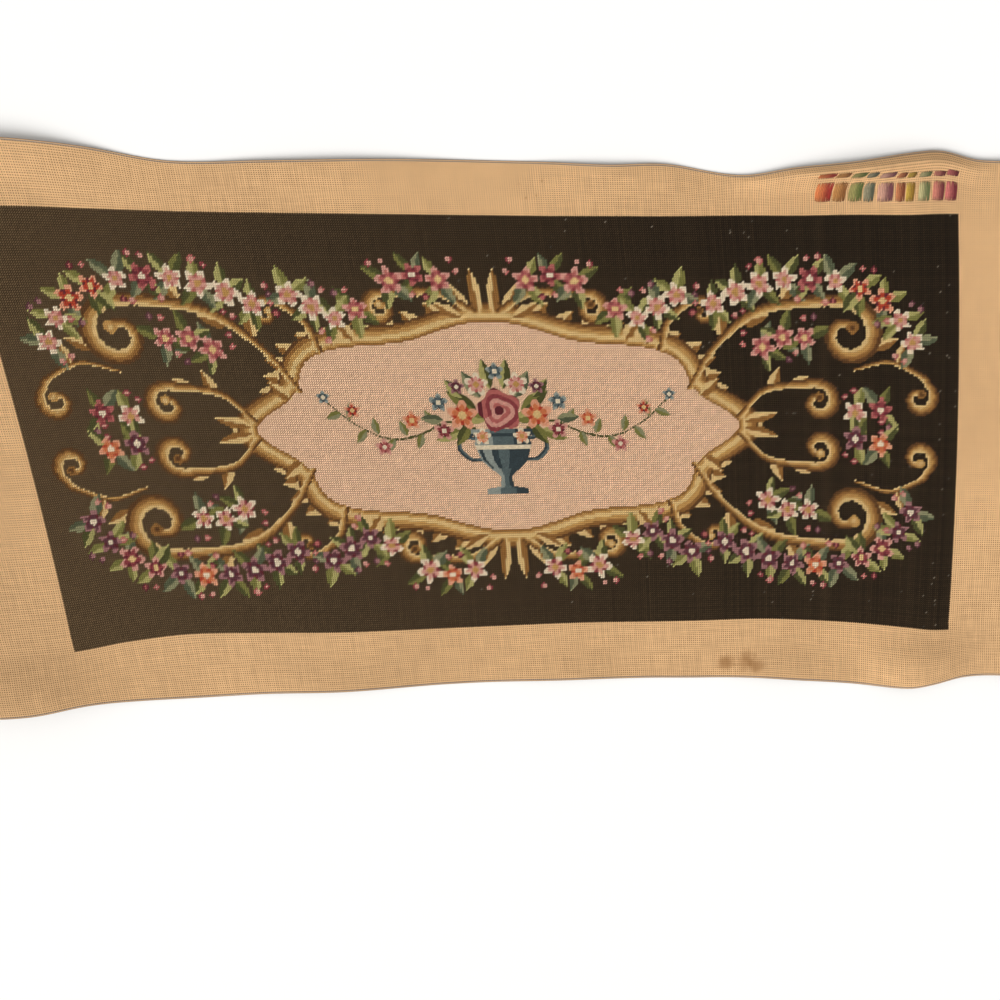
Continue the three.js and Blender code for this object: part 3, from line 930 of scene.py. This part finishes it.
def make_stitches(name, columns, rows, wools, size, height):
    """One piece of many stitches, at the given meshes and in the given wools."""
    count = len(columns)
    point, side_step, up_step, normal = cloth_frame(columns, rows)
    long_way = (side_step + up_step) * (size / math.sqrt(2))
    cross_way = (up_step - side_step) * (size / math.sqrt(2))
    stretch = 1 + wool_draw.normal(0, 0.04, (count, 3))
    lean = wool_draw.normal(0, 0.05, count)
    along = STITCH_POINTS[:, 0] * STITCH_HALF_LENGTH * stretch[:, :1]
    across = STITCH_POINTS[:, 1] * STITCH_HALF_WIDTH * stretch[:, 1:2] + lean[:, None] * along
    up = STITCH_FOOT + STITCH_POINTS[:, 2] * height * stretch[:, 2:]
    places = point[:, None] + along[..., None] * long_way[:, None]
    places = places + across[..., None] * cross_way[:, None] + up[..., None] * normal[:, None]
    points = ((places + to_frame) / 1000).reshape(-1, 3)
    corner_count = len(STITCH_POINTS)
    faces = (STITCH_FACES[None] + corner_count * np.arange(count)[:, None, None]).reshape(-1, 3)
    piece = new_piece(name, points, faces)
    shade = 1 + wool_draw.normal(0, SHADE_SPREAD, (count, 1))
    ground = wools == WOOL_NUMBER["ground"]
    left, down = 1 - columns / MESHES_ACROSS, 1 - rows / MESHES_UP
    streaks = 1 + (column_shades[columns.astype(int)] * row_shades[rows.astype(int)] - 1) * (1 - left)
    # Painted sheen: the ground's colour grows paler toward its left end and its lower edge
    painted_sheen = 1 + PAINTED_SHEEN_TO_LEFT * left**2 + PAINTED_SHEEN_DOWNWARDS * down
    shade[ground, 0] *= (streaks * painted_sheen)[ground]
    colours = wool_colours[wools] * shade
    lint = ground & (wool_draw.random(count) < LINT_SHARE * (1 - left) ** 2)
    colours[lint] = linear(LINT_COLOUR) * wool_draw.uniform(0.25, 1, (lint.sum(), 1))
    # Painted light: each stitch's colour is darkened at its feet, where shade falls between stitches, and
    # brightened along its crest
    painted_light_by_height = np.interp(STITCH_POINTS[:, 2], [0, 1], STITCH_PAINTED_SHADE_AND_HIGHLIGHT)
    add_colour(piece, "wool", (colours[:, None] * painted_light_by_height[:, None]).reshape(-1, 3))
    add_flat_uv(piece)
    piece.data.materials.append(stitched_wool)
    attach(piece, "root")
    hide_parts("wool_field")
    return piece


def worked_at(chart, pick, stitches_per_mesh):
    """Meshes and wools of the picked stitches of a chart."""
    rows, columns = np.nonzero(pick)
    return (columns + 0.5) / stitches_per_mesh, (rows + 0.5) / stitches_per_mesh, chart["wool"][pick]


# A mesh that holds any petit point is worked in it all over, in blush where the posy is not
petit_shape = (MESHES_UP, PETIT_PER_MESH, MESHES_ACROSS, PETIT_PER_MESH)
petit_cells = (petit["wool"] != UNWORKED).reshape(petit_shape).any((1, 3))
petit_pick = np.repeat(np.repeat(petit_cells, PETIT_PER_MESH, 0), PETIT_PER_MESH, 1)
work(petit, petit_pick & (petit["wool"] == UNWORKED), "blush")
full_size = ~petit_cells
is_ground = full_size & (chart["wool"] == WOOL_NUMBER["ground"])
is_blush = full_size & (chart["wool"] == WOOL_NUMBER["blush"])
gold_numbers = [WOOL_NUMBER[wool] for wool in SCROLL_SHADES]
is_gold = full_size & np.isin(chart["wool"], gold_numbers)
is_flower = full_size & ~is_ground & ~is_blush & ~is_gold
left_half = chart["x"] < 0
STITCH_GROUPS = (
    ("stitches_ground_left", is_ground & left_half),
    ("stitches_ground_right", is_ground & ~left_half),
    ("stitches_medallion", is_blush),
    ("stitches_gold", is_gold),
    ("stitches_flowers", is_flower),
)
for name, pick in STITCH_GROUPS:
    make_stitches(name, *worked_at(chart, pick, 1), 1.0, STITCH_HEIGHT)
petit_worked = worked_at(petit, petit_pick, PETIT_PER_MESH)
petit_size = 1 / PETIT_PER_MESH
petit_piece = make_stitches("stitches_petit_point", *petit_worked, petit_size, PETIT_HEIGHT)

# The shade key
# Long wool stitches sewn over the margin above one corner, a block for each wool of the design,
# from its light shade at the left to its dark one. A second row lies on the slope of the ridge.
KEY_SPAN = (0.851, 0.998)  # of the field's length
KEY_ROWS = {  # mm above the field's edge, each at the left and at the right end of the key, and the row's painted shade
    "lower": {"foot": (11.8, 11.8), "head": (29.5, 30), "shade": 1.0},
    "upper": {"foot": (33.2, 34.7), "head": (36, 40.2), "shade": 0.6},  # painted shade: this row lies on the ridge's steep slope
}
KEY_BLOCKS = {  # start and end in the span, light wool, dark wool
    "red": (0.0, 0.115, (206, 122, 72), (156, 52, 42)),
    "tan": (0.125, 0.215, (190, 136, 78), (138, 90, 48)),
    "green": (0.235, 0.33, (162, 152, 94), (96, 106, 54)),
    "sage": (0.34, 0.415, (152, 144, 116), (90, 92, 74)),
    "plum": (0.44, 0.55, (204, 158, 136), (124, 74, 78)),
    "rust": (0.57, 0.632, (196, 126, 84), (126, 68, 42)),
    "ochre": (0.642, 0.7, (198, 164, 72), (140, 106, 38)),
    "moss": (0.73, 0.81, (186, 176, 128), (102, 110, 68)),
    "rose": (0.83, 0.91, (196, 124, 106), (116, 54, 54)),
    "claret": (0.92, 1.0, (204, 116, 108), (114, 44, 50)),
}
KEY_SLANT = (1.2, 0.5)  # meshes that a block leans to the right, at the two ends of the key
YARN_PAINTED_SHADE = (0.45, 1.0, 1.0, 0.6)  # painted shade from foot to head, darker where its ends sink into the canvas
YARN_WIDTH = 1.5  # mm
YARN_RINGS = 9
YARN_SIDES = 5
YARN_HEIGHT = 1.5
YARN_OVERLAP = 0.56  # half its width, as a share of its place in the block
YARN_WANDER = 0.12  # meshes that its ends stray
BLOCK_ROUNDING = 0.12  # how much shorter the outer yarns of a block are
KEY_MESH = 2.16  # mm along one mesh beside the key


def make_key_material():
    """Long stitches of the same wool, where the twist of the yarn shows."""
    material, tree, shader = new_material("long wool stitches")
    colour = add_node(tree, "ShaderNodeAttribute", attribute_name="wool").outputs["Color"]
    place = add_node(tree, "ShaderNodeTexCoord").outputs["Object"]
    settings = {"Vector": place, "Rotation": (0, 0, math.radians(-20)), "Scale": (1800, 500, 600)}
    twist = add_node(tree, "ShaderNodeMapping", settings).outputs[0]
    mottle = noise_range(tree, twist, 1.0, 0.75, 1.15, 2.0)
    tree.links.new(shaded(tree, colour, mottle), shader.inputs["Base Color"])
    shader.inputs["Roughness"].default_value = 0.85
    shader.inputs["Specular IOR Level"].default_value = 0.25
    shader.inputs["Sheen Weight"].default_value = 0.15
    shader.inputs["Sheen Roughness"].default_value = 0.45
    links = {"Height": mottle, "Strength": 0.5, "Distance": 0.0004}
    tree.links.new(add_node(tree, "ShaderNodeBump", links).outputs[0], shader.inputs["Normal"])
    return material


key_wool = make_key_material()


def make_key_block(row_name, name, block):
    """One block of long yarns side by side, from the foot to the head of its row."""
    start, end, light, dark = block
    first, last = (KEY_SPAN[0] + (KEY_SPAN[1] - KEY_SPAN[0]) * share for share in (start, end))
    first, last = first * MESHES_ACROSS, last * MESHES_ACROSS
    key_row = KEY_ROWS[row_name]
    place = (start + end) / 2
    low, high = (np.interp(place, [0, 1], key_row[side]) for side in ("foot", "head"))
    slant = np.interp(place, [0, 1], KEY_SLANT)
    mid_along = (first + last) / 2 / MESHES_ACROSS
    margin = level_at("top edge", mid_along) - level_at("field top", mid_along)
    yarns = round((last - first) * KEY_MESH / YARN_WIDTH)
    half = (last - first) / yarns * YARN_OVERLAP
    length = np.linspace(0, 1, YARN_RINGS)
    fullness = np.sin(math.pi * np.clip(length, 0.04, 0.96)) ** 0.35
    painted_shade_by_length = np.interp(length, [0, 0.2, 0.85, 1], YARN_PAINTED_SHADE)
    round_angle = np.linspace(0, math.pi, YARN_SIDES)
    j, i = np.meshgrid(np.arange(YARN_RINGS - 1), np.arange(YARN_SIDES - 1), indexing="ij")
    yarn_corner = (j * YARN_SIDES + i).ravel()
    points, colours, faces = [], [], []
    for k in range(yarns):
        across = (k + 0.5) / yarns
        from_middle = 2 * across - 1
        middle = first + across * (last - first)
        wander = wool_draw.normal(0, YARN_WANDER, 2)
        stray = np.interp(length, [0, 0.5, 1], [wander[0], 0, wander[1]])
        centre = middle + stray + slant * (length - 0.5)
        rounded = 1 - BLOCK_ROUNDING * from_middle**4
        above = low + (high - low) * (0.5 + (length - 0.5) * rounded + wool_draw.normal(0, 0.012))
        mesh_row = MESHES_UP + above / margin * MESHES_IN_TOP_MARGIN
        column = centre[:, None] - half * fullness[:, None] * np.cos(round_angle)
        height = YARN_HEIGHT * (1 - 0.5 * from_middle**2) * wool_draw.uniform(0.9, 1.05)
        out = STITCH_FOOT + height * fullness[:, None] * np.sin(round_angle)
        points.append(on_cloth(column, mesh_row[:, None] + 0 * column, out).reshape(-1, 3))
        share = np.clip(1.4 * across - 0.2, 0, 1)
        share = share**2 * (3 - 2 * share)
        shade = linear(light) * (1 - share) + linear(dark) * share
        # The row's painted shade darkens the whole upper row
        shade = shade * wool_draw.uniform(0.88, 1.12) * key_row["shade"]
        # Painted shade along each yarn, darkest at its foot
        colours.append(np.repeat(shade * painted_shade_by_length[:, None], YARN_SIDES, 0))
        corner = yarn_corner + k * YARN_RINGS * YARN_SIDES
        faces.append(np.stack([corner, corner + 1, corner + YARN_SIDES + 1, corner + YARN_SIDES], -1))
    piece = new_piece(f"key_{row_name}_{name}_yarns", np.vstack(points), np.vstack(faces))
    add_colour(piece, "wool", np.vstack(colours))
    add_flat_uv(piece)
    piece.data.materials.append(key_wool)
    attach(piece, "root")
    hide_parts(f"key_{row_name}_{name}")
    return piece


for row_name in KEY_ROWS:
    for name, block in KEY_BLOCKS.items():
        make_key_block(row_name, name, block)

# The table, the light and the view
# A plain pale table top, soft light from all round with more from the left and the near side, and
# a camera nearly overhead, as the panel was photographed.
TABLE_HALF = 6.0
TABLE_LEVEL = -0.0005  # just under the cloth
TABLE_COLOUR = (250, 249, 247)
mesh = bpy.data.meshes.new("table_top")
corner_ways = ((-1, -1), (1, -1), (1, 1), (-1, 1))
corners = [(x * TABLE_HALF, y * TABLE_HALF, TABLE_LEVEL) for x, y in corner_ways]
mesh.from_pydata(corners, [], [(0, 1, 2, 3)])
table = bpy.data.objects.new("table_top", mesh)
collection.objects.link(table)
material, tree, shader = new_material("pale table")
shader.inputs["Base Color"].default_value = opaque(TABLE_COLOUR)
shader.inputs["Roughness"].default_value = 0.9
mesh.materials.append(material)

scene = bpy.context.scene
scene.view_settings.view_transform = "Standard"
world = bpy.data.worlds.new("studio")
world.use_nodes = True
sky = world.node_tree.nodes["Background"]
sky.inputs["Color"].default_value = (1.0, 0.985, 0.96, 1.0)
sky.inputs["Strength"].default_value = 0.53
scene.world = world
DAYLIGHT_FROM = Vector((-1.5, -1.2, 1.6))
DAYLIGHT_SPREAD = math.radians(40)  # soft, as through a wide window
daylight = bpy.data.lights.new("daylight", "SUN")
daylight.energy = 2.75
daylight.angle = DAYLIGHT_SPREAD
light = bpy.data.objects.new("daylight", daylight)
light.rotation_euler = (-DAYLIGHT_FROM).to_track_quat("-Z", "Y").to_euler()
collection.objects.link(light)

PICTURE_MIDDLE = (39, -60, 0)  # the point of the table there, in mm as the cloth is measured
CAMERA_OFFSET = Vector((-0.0583, 0.2070, 1.0436))
CAMERA_LENS = 39.6  # for a 36 mm wide sensor
camera_data = bpy.data.cameras.new("view")
camera_data.lens = CAMERA_LENS
camera_data.clip_end = 50
camera = bpy.data.objects.new("view", camera_data)
back = CAMERA_OFFSET.normalized()
side = Vector((0, 1, 0)).cross(back).normalized()
axes = Matrix((side, back.cross(side), back)).transposed()
table_point = Vector((PICTURE_MIDDLE + to_frame) / 1000)
camera.matrix_world = Matrix.Translation(table_point + CAMERA_OFFSET) @ axes.to_4x4()
collection.objects.link(camera)
scene.camera = camera
